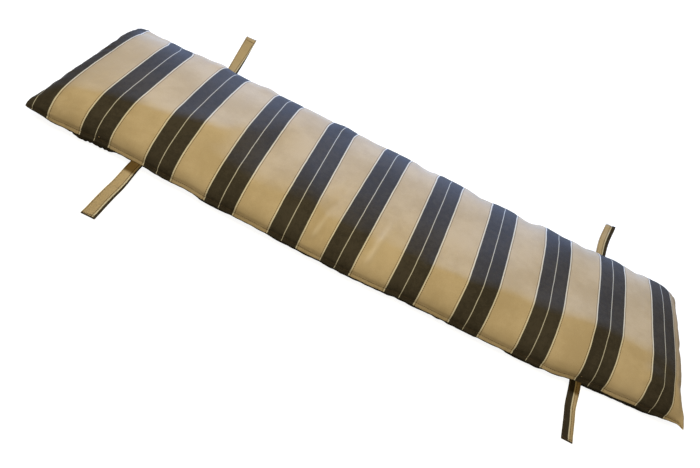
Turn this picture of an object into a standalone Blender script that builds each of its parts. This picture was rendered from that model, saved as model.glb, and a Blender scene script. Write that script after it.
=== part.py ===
"""A filled bench cushion of striped cloth with four flat ties, lying on its base.

Metres, +Z up. X runs along the cushion and Y across it. The origin is in the middle of the
flat base. The near side, at -Y, and the far side each hold two ties in their seam.
"""
import math

import bmesh
import bpy
from mathutils import Vector

# Cushion body
LENGTH = 1.508             # between the end seams, at the far side
WIDTH = 0.438              # between the side seams
THICKNESS = 0.085          # at the crown
SEAM_HEIGHT = 0.0165       # of the seam round the middle of each side
EAR_REACH = 0.120          # over this length the seam climbs to a corner
BASE_INSET = 0.022         # from the seam in to where the base touches the ground
BASE_CORNER = 0.070        # radius of the base's corners
# How the filling rises: reach is from the seam up to the full crown, a higher flatness keeps the
# top level further out, and a higher shoulder makes the start steeper.
SIDE_CROWN = {"reach": WIDTH / 2, "flatness": 3.2, "shoulder": 2.35}
END_CROWN = {"reach": 0.1625, "flatness": 5.0, "shoulder": 1.29}

# Outline: how far the filling pulls each seam from its cut rectangle
LEFT_LONGER = 0.0017       # middle of the left end
RIGHT_LONGER = 0.0073      # middle of the right end
NEAR_RIGHT_SHORTER = 0.0166
FAR_LEFT_SHORTER = 0.0036
# The four ears, which hold little filling: how far each one's tip stands out along the cushion,
# is pulled in across it, is rounded off, and stands above the ground
EARS = (
    {"along": -1, "across": -1, "out": 0.004, "pulled": 0.014, "blunt": 0.005, "height": 0.021},
    {"along": 1, "across": -1, "out": 0.016, "pulled": 0.021, "blunt": 0.000, "height": 0.018},
    {"along": -1, "across": 1, "out": -0.014, "pulled": 0.004, "blunt": 0.000, "height": 0.040},
    {"along": 1, "across": 1, "out": 0.000, "pulled": 0.012, "blunt": 0.000, "height": 0.033},
)
BLUNT_REACH = 0.010
# The near seam's bow outward, from left to right, pulled in where the ties are sewn
NEAR_SEAM_BOW = (
    {"x": -0.754, "out": 0.0030},
    {"x": -0.700, "out": -0.0020},
    {"x": -0.652, "out": -0.0085},
    {"x": -0.575, "out": -0.0138},
    {"x": -0.500, "out": -0.0125},
    {"x": -0.424, "out": -0.0055},
    {"x": -0.326, "out": 0.0020},
    {"x": -0.180, "out": 0.0056},
    {"x": -0.017, "out": 0.0100},
    {"x": 0.064, "out": 0.0078},
    {"x": 0.100, "out": 0.0038},
    {"x": 0.275, "out": 0.0050},
    {"x": 0.400, "out": 0.0042},
    {"x": 0.519, "out": -0.0100},
    {"x": 0.649, "out": -0.0190},
    {"x": 0.700, "out": -0.0130},
    {"x": 0.754, "out": 0.0040},
)

# Seam
LIP_DEPTH = 0.0016         # how far the stitched seam stands out
LIP_HALF_HEIGHT = 0.0035
PUCKER_DEPTH = 0.0010      # of the gathers along the seam
PUCKER_LENGTH = 0.052
PUCKER_REACH = 0.055       # the gathers fade out over this distance from the seam

# Soft trough where the near seam is gathered between two stripes
TROUGH_AT_SEAM = -0.111
TROUGH_AT_MIDDLE = -0.084
TROUGH_HALF_WIDTH = 0.016
TROUGH_DEPTH = 0.0045

# Uneven filling: slow waves over the top, each with its length along X and Y
FILLING_WAVES = (
    {"along": 0.61, "across": 0.83, "phase": 0.4, "height": 0.0016},
    {"along": 0.37, "across": -0.52, "phase": 2.1, "height": 0.0012},
    {"along": -0.23, "across": 0.41, "phase": 4.4, "height": 0.0007},
)

# Mesh spacing
EDGE_STEPS = (0.0, 0.0035, 0.010, 0.020, 0.034, 0.054, 0.082, 0.119, 0.166, 0.219)
COLUMN_STEP = 0.013

# Ties
TIE_WIDTH = 0.026
TIE_THICKNESS = 0.0022
HEM_THICKNESS = 0.0030     # at the free end, where the strap is turned over
HEM_LENGTH = 0.012
TIE_GAP = 0.0003           # from the seam's lip to the tie's sewn end
TIE_STATIONS = 22
# Each tie runs from its root in the seam to its free end. The bend is a sideways bow at its
# middle, a dropping tie reaches the ground at lands_at, a share of its reach, and the outer half
# widens to this share of the common width.
TIES = {
    "tie_near_left": {"root_x": -0.4970, "end_x": -0.4985, "reach": 0.171, "end_height": 0.0,
                      "bend": -0.0025, "lands_at": 0.42, "widens": 1.14},
    "tie_near_right": {"root_x": 0.5040, "end_x": 0.5010, "reach": 0.142, "end_height": 0.0,
                       "bend": 0.0015, "lands_at": 0.46, "widens": 1.00},
    "tie_far_left": {"root_x": -0.4865, "end_x": -0.4985, "reach": 0.150, "end_height": 0.0640,
                     "bend": 0.0010, "lands_at": None, "widens": 1.12},
    "tie_far_right": {"root_x": 0.5525, "end_x": 0.5655, "reach": 0.132, "end_height": 0.0500,
                      "bend": -0.0050, "lands_at": None, "widens": 1.06},
}

STRIPED_CLOTH = {"colour": (0.42, 0.33, 0.24, 1.0), "roughness": 0.88, "metallic": 0.0}
TIE_CLOTH = {"colour": (0.40, 0.31, 0.23, 1.0), "roughness": 0.90, "metallic": 0.0}


def clear_scene():
    """Remove whatever the open file holds."""
    for item in list(bpy.data.objects):
        bpy.data.objects.remove(item, do_unlink=True)


def smooth_step(value):
    """Ease from 0 to 1."""
    value = min(max(value, 0.0), 1.0)
    return value * value * (3.0 - 2.0 * value)


def make_material(name, finish):
    """A plain cloth material."""
    material = bpy.data.materials.new(name)
    material.use_nodes = True
    shader = material.node_tree.nodes["Principled BSDF"]
    shader.inputs["Base Color"].default_value = finish["colour"]
    shader.inputs["Roughness"].default_value = finish["roughness"]
    shader.inputs["Metallic"].default_value = finish["metallic"]
    material.diffuse_color = finish["colour"]
    return material


def add_object(name, mesh, material, smooth_angle):
    """Put a bmesh into the scene as one named, shaded object."""
    bmesh.ops.recalc_face_normals(mesh, faces=mesh.faces)
    data = bpy.data.meshes.new(name)
    mesh.to_mesh(data)
    mesh.free()
    data.materials.append(material)
    data.shade_smooth()
    data.set_sharp_from_angle(angle=smooth_angle)
    item = bpy.data.objects.new(name, data)
    bpy.context.scene.collection.objects.link(item)
    return item


def stations(total, middle_step=None):
    """Distances from one seam to the other, close together near both seams."""
    half = total / 2
    near = [step for step in EDGE_STEPS if step < half - 1e-6]
    if middle_step is None:
        return near + [half] + [total - step for step in reversed(near)]
    inner = total - 2 * near[-1]
    count = round(inner / middle_step)
    middle = [near[-1] + inner * k / count for k in range(1, count)]
    return near + middle + [total - step for step in reversed(near)]


def crown(distance, rise):
    """Height share of the filling at a distance from a seam, from 0 to 1."""
    inward = min(distance / rise["reach"], 1.0)
    return (1.0 - (1.0 - inward) ** rise["flatness"]) ** (1.0 / rise["shoulder"])


def nearest_ear(x, y):
    """The ear in the same quarter of the cushion as a plan point."""
    for ear in EARS:
        if x * ear["along"] >= 0.0 and y * ear["across"] >= 0.0:
            return ear
    return EARS[0]


def corner_nearness(from_end, from_side):
    """1 at a corner of the cushion, falling to 0 along both of its sides."""
    along = 1.0 - smooth_step(from_end / EAR_REACH)
    across = 1.0 - smooth_step(from_side / EAR_REACH)
    return along * across


def seam_height(left, near):
    """Height of the seam, which climbs to the four ears."""
    ear = nearest_ear(left - LENGTH / 2, near - WIDTH / 2)
    nearness = corner_nearness(min(left, LENGTH - left), min(near, WIDTH - near))
    return SEAM_HEIGHT + (ear["height"] - SEAM_HEIGHT) * nearness


def near_bow(x):
    """How far the near seam stands out at x, eased between the rows of the table."""
    rows = NEAR_SEAM_BOW
    x = min(max(x, rows[0]["x"]), rows[-1]["x"])
    for first, second in zip(rows, rows[1:]):
        if x <= second["x"]:
            share = smooth_step((x - first["x"]) / (second["x"] - first["x"]))
            return first["out"] + (second["out"] - first["out"]) * share
    return 0.0


def drawn_in(x, y):
    """Move a plan point of the cut rectangle to where the filling draws it."""
    along = x / (LENGTH / 2)
    across = y / (WIDTH / 2)
    middle = 1.0 - min(abs(across), 1.0) ** 2.5
    if along < 0.0:
        shorter = FAR_LEFT_SHORTER * smooth_step(across + 0.6)
        moved_x = x + (shorter - LEFT_LONGER * middle) * along ** 4
    else:
        shorter = NEAR_RIGHT_SHORTER * (1.0 - across) / 2
        moved_x = x + (RIGHT_LONGER * middle - shorter) * along ** 4
    from_end = max(LENGTH / 2 - abs(x), 0.0)
    from_side = max(WIDTH / 2 - abs(y), 0.0)
    ear = nearest_ear(x, y)
    tip = corner_nearness(from_end, from_side) ** 2
    blunt = ear["blunt"] * math.exp(-(from_end + from_side) / BLUNT_REACH)
    moved_x += ear["along"] * (ear["out"] * tip - blunt)
    moved_y = y - ear["across"] * (ear["pulled"] * tip + blunt)
    if across < 0.0:
        moved_y -= near_bow(x) * min(-across, 1.0) ** 2
    return moved_x, moved_y


def plan_point(left, near):
    """Plan position for distances from the left seam and from the near seam."""
    return drawn_in(left - LENGTH / 2, near - WIDTH / 2)


def pucker(position, from_seam):
    """Gathers across the seam, strongest at the seam itself."""
    fade = math.exp(-from_seam / PUCKER_REACH)
    rhythm = 1.0 + 0.35 * math.sin(position * 9.0)
    return PUCKER_DEPTH * fade * math.sin(math.tau * position * rhythm / PUCKER_LENGTH)


def trough(x, near):
    """Depth of the soft trough that runs in from the near seam."""
    inward = min(near / (WIDTH / 2), 1.0)
    line = TROUGH_AT_SEAM + (TROUGH_AT_MIDDLE - TROUGH_AT_SEAM) * inward
    off = (x - line) / TROUGH_HALF_WIDTH
    return TROUGH_DEPTH * math.exp(-off * off) * (1.0 - smooth_step(inward))


def top_height(left, near, x, y):
    """Height of the upper panel."""
    from_end = min(left, LENGTH - left)
    from_side = min(near, WIDTH - near)
    seam = seam_height(left, near)
    fill = crown(from_side, SIDE_CROWN) * crown(from_end, END_CROWN)
    height = seam + (THICKNESS - seam) * fill
    for wave in FILLING_WAVES:
        turn = x / wave["along"] + y / wave["across"]
        height += wave["height"] * fill * math.sin(math.tau * turn + wave["phase"])
    share = min(fill * 2.0, 1.0)
    height += share * (pucker(x, from_side) + pucker(y, from_end))
    return height - share * trough(x, near)


def outward(point, distance):
    """Move a seam point out from the cushion's long middle line, in plan."""
    x, y, z = point
    spine = max(min(x, LENGTH / 2 - WIDTH / 2), WIDTH / 2 - LENGTH / 2)
    away = Vector((x - spine, y)).normalized()
    return x + away.x * distance, y + away.y * distance, z


def base_point(left, near):
    """Where the lower panel reaches the ground, inward of a seam point."""
    flat_x, flat_y = left - LENGTH / 2, near - WIDTH / 2
    core_x = LENGTH / 2 - BASE_INSET - BASE_CORNER
    core_y = WIDTH / 2 - BASE_INSET - BASE_CORNER
    core = Vector((min(max(flat_x, -core_x), core_x), min(max(flat_y, -core_y), core_y)))
    away = (Vector((flat_x, flat_y)) - core).normalized()
    x, y = drawn_in(*(core + away * BASE_CORNER))
    return x, y, 0.0


def build_cushion(material):
    """The filled body: crowned top panel, stitched lip, and lower panel with a flat base."""
    lefts = stations(LENGTH, COLUMN_STEP)
    nears = stations(WIDTH)
    mesh = bmesh.new()
    grid = []
    for left in lefts:
        column = []
        for near in nears:
            x, y = plan_point(left, near)
            column.append(mesh.verts.new((x, y, top_height(left, near, x, y))))
        grid.append(column)
    for first, second in zip(grid, grid[1:]):
        for row in range(len(nears) - 1):
            mesh.faces.new((first[row], second[row], second[row + 1], first[row + 1]))
    last_left, last_near = len(lefts) - 1, len(nears) - 1
    walk = [(i, 0) for i in range(last_left)]
    walk += [(last_left, j) for j in range(last_near)]
    walk += [(i, last_near) for i in range(last_left, 0, -1)]
    walk += [(0, j) for j in range(last_near, 0, -1)]
    rim = [grid[i][j] for i, j in walk]
    lip, tuck, base = [], [], []
    for (i, j), vert in zip(walk, rim):
        at_seam = tuple(vert.co)
        ground = Vector(base_point(lefts[i], nears[j]))
        lip.append(mesh.verts.new(outward(at_seam, LIP_DEPTH)))
        below = Vector(at_seam) - Vector((0.0, 0.0, LIP_HALF_HEIGHT))
        tuck.append(mesh.verts.new(below.lerp(ground, 0.04)))
        base.append(mesh.verts.new(ground))
        vert.co.z += LIP_HALF_HEIGHT * 0.5
    for upper, lower in ((rim, lip), (lip, tuck), (tuck, base)):
        for k in range(len(rim)):
            n = (k + 1) % len(rim)
            mesh.faces.new((upper[k], lower[k], lower[n], upper[n]))
    bottom = mesh.faces.new(base)
    bmesh.ops.triangulate(mesh, faces=[bottom])
    return add_object("cushion", mesh, material, math.radians(50))


def sewn_edge(x, side):
    """Where the sewn end of a tie meets the seam's lip at x."""
    bow = near_bow(x) if side < 0 else 0.0
    return WIDTH / 2 + bow + LIP_DEPTH + TIE_GAP


def tie_line(tie, side, share):
    """Centre of a tie at a share of its length, from the sewn end to the free end."""
    root_y = sewn_edge(tie["root_x"], side)
    x = tie["root_x"] + (tie["end_x"] - tie["root_x"]) * share
    x += tie["bend"] * math.sin(math.pi * share) ** 1.5
    y = side * (root_y + tie["reach"] * share)
    start = SEAM_HEIGHT
    if tie["lands_at"] is None:
        rise = 1.35 * share - 0.35 * share ** 2
        return Vector((x, y, start + (tie["end_height"] - start) * rise))
    drop = 1.0 - smooth_step(share / tie["lands_at"])
    return Vector((x, y, TIE_THICKNESS / 2 + (start - TIE_THICKNESS / 2) * drop))


def build_tie(name, tie, material):
    """A flat strap with a turned end, its sewn end square against the seam's lip."""
    side = -1.0 if "near" in name else 1.0
    hem_start = 1.0 - HEM_LENGTH / tie["reach"]
    shares = [k / TIE_STATIONS for k in range(TIE_STATIONS + 1)]
    shares = [share for share in shares if abs(share - hem_start) > 0.02]
    shares = sorted(shares + [hem_start - 0.004, hem_start + 0.004])
    mesh = bmesh.new()
    rings = []
    for share in shares:
        centre = tie_line(tie, side, share)
        before = tie_line(tie, side, max(share - 0.02, 0.0))
        after = tie_line(tie, side, min(share + 0.02, 1.0))
        along = (after - before).normalized()
        if share == 0.0:
            along = Vector((0.0, side, 0.0))
        across = along.cross(Vector((0.0, 0.0, 1.0))).normalized()
        normal = across.cross(along).normalized()
        thick = HEM_THICKNESS if share > hem_start else TIE_THICKNESS
        lift = normal * (thick - TIE_THICKNESS) / 2
        widened = 1.0 + (tie["widens"] - 1.0) * smooth_step(share * 2.0)
        wide = across * TIE_WIDTH * widened / 2
        half = normal * thick / 2
        corners = (wide + half, half - wide, -wide - half, wide - half)
        points = [centre + lift + corner for corner in corners]
        if share == 0.0:
            points = [Vector((point.x, side * sewn_edge(point.x, side), point.z)) for point in points]
        rings.append([mesh.verts.new(point) for point in points])
    for first, second in zip(rings, rings[1:]):
        for k in range(4):
            n = (k + 1) % 4
            mesh.faces.new((first[k], first[n], second[n], second[k]))
    mesh.faces.new(rings[0])
    mesh.faces.new(rings[-1])
    return add_object(name, mesh, material, math.radians(40))


clear_scene()
cushion_cloth = make_material("striped cloth", STRIPED_CLOTH)
tie_cloth = make_material("tie cloth", TIE_CLOTH)
build_cushion(cushion_cloth)
for tie_name, tie_sizes in TIES.items():
    build_tie(tie_name, tie_sizes, tie_cloth)
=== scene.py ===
import math

import bmesh
import bpy
import numpy as np
from mathutils import Matrix, Vector


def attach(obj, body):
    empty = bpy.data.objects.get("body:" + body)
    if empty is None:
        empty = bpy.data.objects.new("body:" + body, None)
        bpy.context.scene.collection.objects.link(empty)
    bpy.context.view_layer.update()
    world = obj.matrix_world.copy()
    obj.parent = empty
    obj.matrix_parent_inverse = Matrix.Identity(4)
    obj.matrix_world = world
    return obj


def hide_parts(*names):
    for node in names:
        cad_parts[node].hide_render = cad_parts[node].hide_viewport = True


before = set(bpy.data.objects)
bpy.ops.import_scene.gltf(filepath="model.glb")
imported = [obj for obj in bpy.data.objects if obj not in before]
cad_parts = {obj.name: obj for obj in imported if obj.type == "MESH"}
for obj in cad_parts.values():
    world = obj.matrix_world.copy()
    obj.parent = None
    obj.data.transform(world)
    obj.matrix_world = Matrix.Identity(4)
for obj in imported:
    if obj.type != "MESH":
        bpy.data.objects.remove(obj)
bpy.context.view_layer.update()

# The filled cushion
# A top and a bottom panel of striped cloth are sewn together low on the side and stuffed, so the
# top crowns, the corners stand up as thin ears, and the seam gathers where the ties are caught in.

LENGTH = 1.508             # between the end seams, at the far side
WIDTH = 0.438              # between the side seams
THICKNESS = 0.085
SEAM_HEIGHT = 0.0165
EAR_REACH = 0.120
BASE_INSET = 0.022         # the lower panel rolls under over this distance
EAR_BASE_INSET = 0.060
SIDE_CROWN = {"reach": WIDTH / 2, "flatness": 3.2, "shoulder": 2.35}
END_CROWN = {"reach": 0.1625, "flatness": 5.0, "shoulder": 1.29}
LEFT_LONGER = 0.0017       # the ends stand out in the middle, or are drawn in near the right corner
RIGHT_LONGER = 0.0073
NEAR_RIGHT_SHORTER = 0.0166
FAR_LEFT_SHORTER = 0.0036
BLUNT_TIP = 0.0050         # the near left ear's tip is rounded off by this much
BLUNT_REACH = 0.010
# How far each corner's ear stands out along the cushion, is pulled in across it, and its height
EARS = (
    {"along": -1, "across": -1, "out": 0.004, "pulled": 0.014, "height": 0.021},
    {"along": 1, "across": -1, "out": 0.016, "pulled": 0.021, "height": 0.018},
    {"along": -1, "across": 1, "out": -0.014, "pulled": 0.009, "height": 0.040},
    {"along": 1, "across": 1, "out": 0.000, "pulled": 0.012, "height": 0.033},
)
# How far the near seam stands out of its straight line
NEAR_SEAM_BOW = (
    {"x": -0.754, "out": 0.0030},
    {"x": -0.700, "out": -0.0045},
    {"x": -0.652, "out": -0.0105},
    {"x": -0.575, "out": -0.0146},
    {"x": -0.500, "out": -0.0125},
    {"x": -0.424, "out": -0.0055},
    {"x": -0.391, "out": -0.0064},
    {"x": -0.326, "out": 0.0006},
    {"x": -0.261, "out": 0.0032},
    {"x": -0.180, "out": 0.0056},
    {"x": -0.090, "out": 0.0076},
    {"x": -0.017, "out": 0.0100},
    {"x": 0.031, "out": 0.0089},
    {"x": 0.064, "out": 0.0071},
    {"x": 0.100, "out": 0.0038},
    {"x": 0.190, "out": 0.0040},
    {"x": 0.275, "out": 0.0050},
    {"x": 0.400, "out": 0.0031},
    {"x": 0.445, "out": 0.0022},
    {"x": 0.519, "out": -0.0100},
    {"x": 0.584, "out": -0.0153},
    {"x": 0.649, "out": -0.0203},
    {"x": 0.682, "out": -0.0176},
    {"x": 0.714, "out": -0.0112},
    {"x": 0.735, "out": -0.0085},
    {"x": 0.754, "out": 0.0020},
)
# Where the lower panel bulges out from under the near seam and shows, and how much
BASE_SHOWS = (
    {"x": -0.754, "shows": 0.00},
    {"x": -0.644, "shows": 0.00},
    {"x": -0.636, "shows": 0.80},
    {"x": -0.560, "shows": 0.80},
    {"x": -0.551, "shows": 0.00},
    {"x": -0.362, "shows": 0.00},
    {"x": -0.354, "shows": 0.75},
    {"x": -0.282, "shows": 0.45},
    {"x": -0.274, "shows": 0.00},
    {"x": -0.193, "shows": 0.00},
    {"x": -0.185, "shows": 0.65},
    {"x": -0.035, "shows": 0.50},
    {"x": 0.274, "shows": 0.50},
    {"x": 0.282, "shows": 0.00},
    {"x": 0.336, "shows": 0.00},
    {"x": 0.346, "shows": 0.75},
    {"x": 0.422, "shows": 0.80},
    {"x": 0.430, "shows": 0.00},
    {"x": 0.500, "shows": 0.00},
    {"x": 0.513, "shows": 0.90},
    {"x": 0.682, "shows": 1.10},
    {"x": 0.690, "shows": 0.00},
    {"x": 0.754, "shows": 0.00},
)
# Where the near side breaks into its fall: how far from the near seam, how much the filling stands
# up there, how much and over what run it falls off below, and how much fuller the far shoulder is
SWELLS = (
    {"x": -0.754, "at": 0.055, "rise": 0.0000, "drop": 0.0000, "run": 0.045, "far": 0.0000},
    {"x": -0.671, "at": 0.066, "rise": 0.0030, "drop": 0.0000, "run": 0.045, "far": -0.0080},
    {"x": -0.600, "at": 0.090, "rise": 0.0025, "drop": 0.0018, "run": 0.045, "far": -0.0020},
    {"x": -0.534, "at": 0.112, "rise": 0.0020, "drop": 0.0035, "run": 0.045, "far": 0.0050},
    {"x": -0.398, "at": 0.151, "rise": 0.0025, "drop": 0.0050, "run": 0.050, "far": 0.0050},
    {"x": -0.330, "at": 0.210, "rise": 0.0010, "drop": 0.0050, "run": 0.110, "far": 0.0050},
    {"x": -0.261, "at": 0.300, "rise": 0.0000, "drop": 0.0070, "run": 0.200, "far": 0.0040},
    {"x": -0.200, "at": 0.240, "rise": 0.0000, "drop": 0.0040, "run": 0.170, "far": 0.0028},
    {"x": -0.150, "at": 0.100, "rise": 0.0010, "drop": 0.0010, "run": 0.060, "far": 0.0050},
    {"x": -0.104, "at": 0.047, "rise": 0.0030, "drop": 0.0000, "run": 0.045, "far": 0.0045},
    {"x": 0.028, "at": 0.043, "rise": 0.0030, "drop": 0.0000, "run": 0.045, "far": 0.0018},
    {"x": 0.198, "at": 0.056, "rise": 0.0050, "drop": 0.0000, "run": 0.045, "far": 0.0000},
    {"x": 0.349, "at": 0.095, "rise": 0.0030, "drop": 0.0020, "run": 0.045, "far": 0.0010},
    {"x": 0.498, "at": 0.126, "rise": 0.0022, "drop": 0.0040, "run": 0.045, "far": -0.0010},
    {"x": 0.640, "at": 0.122, "rise": 0.0015, "drop": 0.0030, "run": 0.045, "far": 0.0000},
    {"x": 0.754, "at": 0.080, "rise": 0.0000, "drop": 0.0000, "run": 0.045, "far": 0.0000},
)
SWELL_REACH = 0.035
SWELL_FADE = 0.05          # the swells fade out toward every seam over this distance
OTHERS_SHOW = 0.5          # how much the lower panel bulges on the other three sides
FAR_SHOULDER = 0.042
FILLING_WAVES = (
    {"along": 0.61, "across": 0.83, "phase": 0.4, "height": 0.0016},
    {"along": 0.37, "across": -0.52, "phase": 2.1, "height": 0.0012},
    {"along": -0.23, "across": 0.41, "phase": 4.4, "height": 0.0007},
)
CLOTH_STEP = 0.0095        # spacing of the cloth's own grid


def ease(value):
    """Ease from 0 to 1."""
    value = np.clip(value, 0.0, 1.0)
    return value * value * (3.0 - 2.0 * value)


def crown(distance, rise):
    """Height share of the filling at a distance from a seam, by the rise of that side."""
    inward = np.clip(distance / rise["reach"], 0.0, 1.0)
    return (1.0 - (1.0 - inward) ** rise["flatness"]) ** (1.0 / rise["shoulder"])


def corner_nearness(from_end, from_side):
    """1 at a corner, falling to 0 along both of its sides."""
    return (1.0 - ease(from_end / EAR_REACH)) * (1.0 - ease(from_side / EAR_REACH))


def ear_value(column, along, across):
    """The value of the ear in each point's own quarter of the cushion."""
    value = np.zeros(np.broadcast(along, across).shape)
    for ear in EARS:
        own = (np.sign(along) * ear["along"] >= 0) & (np.sign(across) * ear["across"] >= 0)
        value = np.where(own, ear[column], value)
    return value


def table_value(table, column, x):
    """A column of a table at x, eased between its rows."""
    xs = np.array([row["x"] for row in table])
    values = np.array([row[column] for row in table])
    x = np.clip(x, xs[0], xs[-1])
    row = np.clip(np.searchsorted(xs, x, side="right") - 1, 0, len(xs) - 2)
    share = ease((x - xs[row]) / (xs[row + 1] - xs[row]))
    return values[row] + (values[row + 1] - values[row]) * share


def drawn_in(x, y):
    """Move plan points of the cut rectangle to where the filling draws them."""
    along, across = x / (LENGTH / 2), y / (WIDTH / 2)
    middle = 1.0 - np.minimum(np.abs(across), 1.0) ** 2.5
    shorter = NEAR_RIGHT_SHORTER * (1.0 - across) / 2
    left = (FAR_LEFT_SHORTER * ease(across + 0.6) - LEFT_LONGER * middle) * along ** 4
    right = (RIGHT_LONGER * middle - shorter) * along ** 4
    from_end = np.maximum(LENGTH / 2 - np.abs(x), 0.0)
    from_side = np.maximum(WIDTH / 2 - np.abs(y), 0.0)
    tip = corner_nearness(from_end, from_side) ** 2
    bow = table_value(NEAR_SEAM_BOW, "out", x)
    bow = np.where(across < 0.0, bow * np.minimum(-across, 1.0) ** 2, 0.0)
    out = tip * ear_value("out", along, across)
    pulled = tip * ear_value("pulled", along, across)
    blunt = np.exp(-(from_end + from_side) / BLUNT_REACH) * BLUNT_TIP * ((along < 0.0) & (across < 0.0))
    x = x + np.where(along < 0.0, left, right) + np.sign(x) * out + blunt
    return x, y - np.sign(y) * pulled - bow + blunt


def even_stations(total, rise, step):
    """Distances between two seams that are evenly spaced along the crowned cloth."""
    flat = np.linspace(0.0, total / 2, 4000)
    height = SEAM_HEIGHT + (THICKNESS - SEAM_HEIGHT) * crown(flat, rise)
    arc = np.concatenate([[0.0], np.cumsum(np.hypot(np.diff(flat), np.diff(height)))])
    count = max(round(arc[-1] / step), 4)
    half = np.interp(np.linspace(0.0, arc[-1], count + 1), arc, flat)
    arcs = np.linspace(0.0, arc[-1], count + 1)
    stations = np.concatenate([half, total - half[-2::-1]])
    return stations, np.concatenate([arcs, 2 * arc[-1] - arcs[-2::-1]])


lefts, left_arcs = even_stations(LENGTH, END_CROWN, CLOTH_STEP)
nears, near_arcs = even_stations(WIDTH, SIDE_CROWN, CLOTH_STEP)
left_grid, near_grid = np.meshgrid(lefts, nears, indexing="ij")
plan_x, plan_y = drawn_in(left_grid - LENGTH / 2, near_grid - WIDTH / 2)
from_end = np.minimum(left_grid, LENGTH - left_grid)
from_side = np.minimum(near_grid, WIDTH - near_grid)
from_seam = np.minimum(from_end, from_side)
corner = corner_nearness(from_end, from_side)
ear_height = ear_value("height", left_grid - LENGTH / 2, near_grid - WIDTH / 2)
seam_z = SEAM_HEIGHT + (ear_height - SEAM_HEIGHT) * corner
fill = crown(from_side, SIDE_CROWN) * crown(from_end, END_CROWN)
top_z = seam_z + (THICKNESS - seam_z) * fill
for wave in FILLING_WAVES:
    turn = plan_x / wave["along"] + plan_y / wave["across"]
    top_z = top_z + wave["height"] * fill * np.sin(math.tau * turn + wave["phase"])
beyond = near_grid - table_value(SWELLS, "at", plan_x)
swell = table_value(SWELLS, "rise", plan_x) * np.exp(-((beyond / SWELL_REACH) ** 2))
swell -= table_value(SWELLS, "drop", plan_x) * ease(-beyond / table_value(SWELLS, "run", plan_x))
beyond = WIDTH - near_grid - FAR_SHOULDER
swell += table_value(SWELLS, "far", plan_x) * np.exp(-((beyond / SWELL_REACH) ** 2))
top_z += swell * ease(from_seam / SWELL_FADE)


def rolled_under(distance, inset, shows):
    """Share of the drop from the seam to the ground: straight where it hides, bulging where it shows."""
    inward = np.clip(distance / inset, 0.0, 1.0)
    return inward + (np.sqrt(1.0 - (1.0 - inward) ** 2.2) - inward) * shows


inset = BASE_INSET + (EAR_BASE_INSET - BASE_INSET) * corner
near_shows = table_value(BASE_SHOWS, "shows", plan_x)
side_shows = np.where(plan_y < 0.0, near_shows, OTHERS_SHOW)
end_drop = rolled_under(from_end, inset, OTHERS_SHOW)
under_z = seam_z * (1.0 - rolled_under(from_side, inset, side_shows) * end_drop)

# One closed skin: the top panel's points, then the lower panel's without the shared seam
columns, rows = left_grid.shape
top_index = np.arange(columns * rows).reshape(columns, rows)
inner = np.zeros((columns, rows), bool)
inner[1:-1, 1:-1] = True
under_index = top_index.copy()
under_index[inner] = columns * rows + np.arange(inner.sum())
rest = np.concatenate([
    np.stack([plan_x, plan_y, top_z], -1).reshape(-1, 3),
    np.stack([plan_x, plan_y, under_z], -1)[inner],
])


def panel_faces(index, flip):
    """Quads of one panel's grid."""
    a, b, c, d = index[:-1, :-1], index[1:, :-1], index[1:, 1:], index[:-1, 1:]
    order = (a, d, c, b) if flip else (a, b, c, d)
    return np.stack(order, -1).reshape(-1, 4)


faces = np.concatenate([panel_faces(top_index, False), panel_faces(under_index, True)])
top_count = len(faces) // 2

skin = bpy.data.meshes.new("cushion_skin")
skin.from_pydata(rest.tolist(), [], faces.tolist())
cushion = bpy.data.objects.new("striped_cushion", skin)
bpy.context.scene.collection.objects.link(cushion)

# The stuffing presses the slack cloth out, so it wrinkles along the seam that holds it
SLACK = 0.018              # the cloth is this much larger than the form it fills
PRESSURE = 4.0
SETTLING_FRAMES = 20
LARGEST_MOVE = 0.0014
HELD_BELOW = 0.0006        # cloth this near the ground lies on it and is held there
is_seam = np.zeros(len(rest), bool)
is_seam[top_index[~inner]] = True
is_base = rest[:, 2] < HELD_BELOW
held = cushion.vertex_groups.new(name="held")
held.add(np.nonzero(is_seam | is_base)[0].tolist(), 1.0, "REPLACE")

cloth = cushion.modifiers.new("settle", "CLOTH")
cloth.settings.quality = 6
cloth.settings.mass = 0.25
cloth.settings.tension_stiffness = 20.0
cloth.settings.compression_stiffness = 20.0
cloth.settings.shear_stiffness = 8.0
cloth.settings.bending_stiffness = 0.6
cloth.settings.use_pressure = True
cloth.settings.uniform_pressure_force = PRESSURE
cloth.settings.shrink_min = -SLACK
cloth.settings.vertex_group_mass = "held"
cloth.settings.effector_weights.gravity = 0.0
cloth.collision_settings.use_collision = False
for step in range(1, SETTLING_FRAMES + 1):
    bpy.context.scene.frame_set(step)
settled = cushion.evaluated_get(bpy.context.evaluated_depsgraph_get()).to_mesh()
moved = np.empty(len(rest) * 3)
settled.vertices.foreach_get("co", moved)
cushion.modifiers.remove(cloth)
bpy.context.scene.frame_set(1)
push = moved.reshape(-1, 3) - rest
reach = np.linalg.norm(push, axis=1, keepdims=True)
limit = LARGEST_MOVE * np.tanh(reach / LARGEST_MOVE)
rest = rest + push * limit / np.maximum(reach, 1e-9)
rest[:, 2] = np.maximum(rest[:, 2], 0.0)
skin.vertices.foreach_set("co", rest.reshape(-1))

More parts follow.
